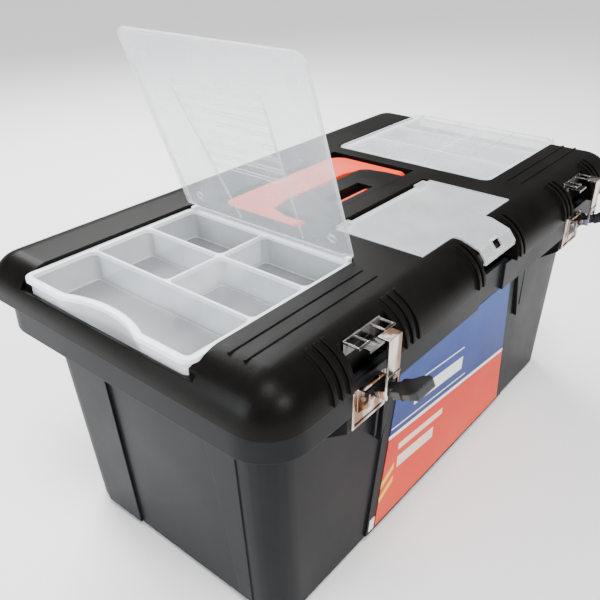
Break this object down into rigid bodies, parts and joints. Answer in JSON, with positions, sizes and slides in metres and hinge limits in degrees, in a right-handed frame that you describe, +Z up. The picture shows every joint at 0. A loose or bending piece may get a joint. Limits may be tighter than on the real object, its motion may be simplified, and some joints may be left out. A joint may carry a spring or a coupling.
{
  "type": "toolbox with tray",
  "caption": "Moulded toolbox with hinged lid, lid trays with clear covers, folding handle, draw latches and a lift-out tote tray.",
  "frame": {"origin": "centre of the bin's base, on the surface it stands on", "axes": "+X along the length to the right, -Y towards the front with the latches, +Z up"},
  "size_m": [0.56, 0.3515, 0.4096],
  "materials": {
    "black_body": "fine textured moulding",
    "black_lid": "satin moulding",
    "black_tote": "fine textured moulding",
    "orange_handle": "satin moulding",
    "clear_tray": "milky translucent moulding",
    "clear_cover": "frosted translucent moulding",
    "label": "printed film",
    "sticker": "plain paper",
    "chrome_latch": "plated pressed steel",
    "steel_pin": "bright rod",
    "black_lever": "satin moulding"
  },
  "bodies": {
    "bin": {"bin": "black_body", "left_hinge_pin": "steel_pin", "right_hinge_pin": "steel_pin", "front_label": "label", "sticker": "sticker", "latch_rivets": "chrome_latch", "left_latch_plate": "chrome_latch", "right_latch_plate": "chrome_latch", "left_pivot_pin": "steel_pin", "right_pivot_pin": "steel_pin"},
    "lid": {"lid": "black_lid", "left_tray": "clear_tray", "right_tray": "clear_tray", "left_keeper": "chrome_latch", "right_keeper": "chrome_latch"},
    "handle": {"handle": "orange_handle"},
    "left_cover": {"left_cover": "clear_cover"},
    "right_cover": {"right_cover": "clear_cover"},
    "centre_cover": {"centre_cover": "clear_cover"},
    "tote": {"tote_tray": "black_tote", "tote_handle": "black_tote"},
    "left_lever": {"left_latch_lever": "black_lever", "left_link_pin": "steel_pin"},
    "right_lever": {"right_latch_lever": "black_lever", "right_link_pin": "steel_pin"},
    "left_claw": {"left_latch_claw": "chrome_latch"},
    "right_claw": {"right_latch_claw": "chrome_latch"}
  },
  "joints": [
    {"name": "lid_hinge", "type": "hinge", "parent": "bin", "child": "lid", "pos_m": [0, 0.157, 0.221], "axis": [-1, 0, 0], "range_deg": [0, 100]},
    {"name": "handle_fold", "type": "hinge", "parent": "lid", "child": "handle", "pos_m": [0, 0, 0.245], "axis": [1, 0, 0], "range_deg": [0, 90]},
    {"name": "left_cover_hinge", "type": "hinge", "parent": "lid", "child": "left_cover", "pos_m": [-0.109, 0.005, 0.2524], "axis": [0, 1, 0], "range_deg": [-70, 30]},
    {"name": "right_cover_hinge", "type": "hinge", "parent": "lid", "child": "right_cover", "pos_m": [0.273, 0.005, 0.2524], "axis": [0, 1, 0], "range_deg": [0, 100]},
    {"name": "centre_cover_hinge", "type": "hinge", "parent": "lid", "child": "centre_cover", "pos_m": [0, -0.037, 0.2505], "axis": [-1, 0, 0], "range_deg": [0, 95]},
    {"name": "tote_lift", "type": "slide", "parent": "bin", "child": "tote", "axis": [0, 0, 1], "range_m": [0, 0.013]},
    {"name": "left_latch_lever_hinge", "type": "hinge", "parent": "bin", "child": "left_lever", "pos_m": [-0.177, -0.15, 0.207], "axis": [1, 0, 0], "range_deg": [-10, 115]},
    {"name": "left_claw_hinge", "type": "hinge", "parent": "left_lever", "child": "left_claw", "pos_m": [-0.177, -0.15634, 0.20996], "axis": [1, 0, 0], "range_deg": [-115, 10]},
    {"name": "right_latch_lever_hinge", "type": "hinge", "parent": "bin", "child": "right_lever", "pos_m": [0.177, -0.15, 0.207], "axis": [1, 0, 0], "range_deg": [-10, 115]},
    {"name": "right_claw_hinge", "type": "hinge", "parent": "right_lever", "child": "right_claw", "pos_m": [0.177, -0.15634, 0.20996], "axis": [1, 0, 0], "range_deg": [-115, 10]}
  ],
  "couplings": [
    {"joint": "left_claw_hinge", "follows": "left_latch_lever_hinge", "ratio": -1},
    {"joint": "right_claw_hinge", "follows": "right_latch_lever_hinge", "ratio": -1}
  ]
}
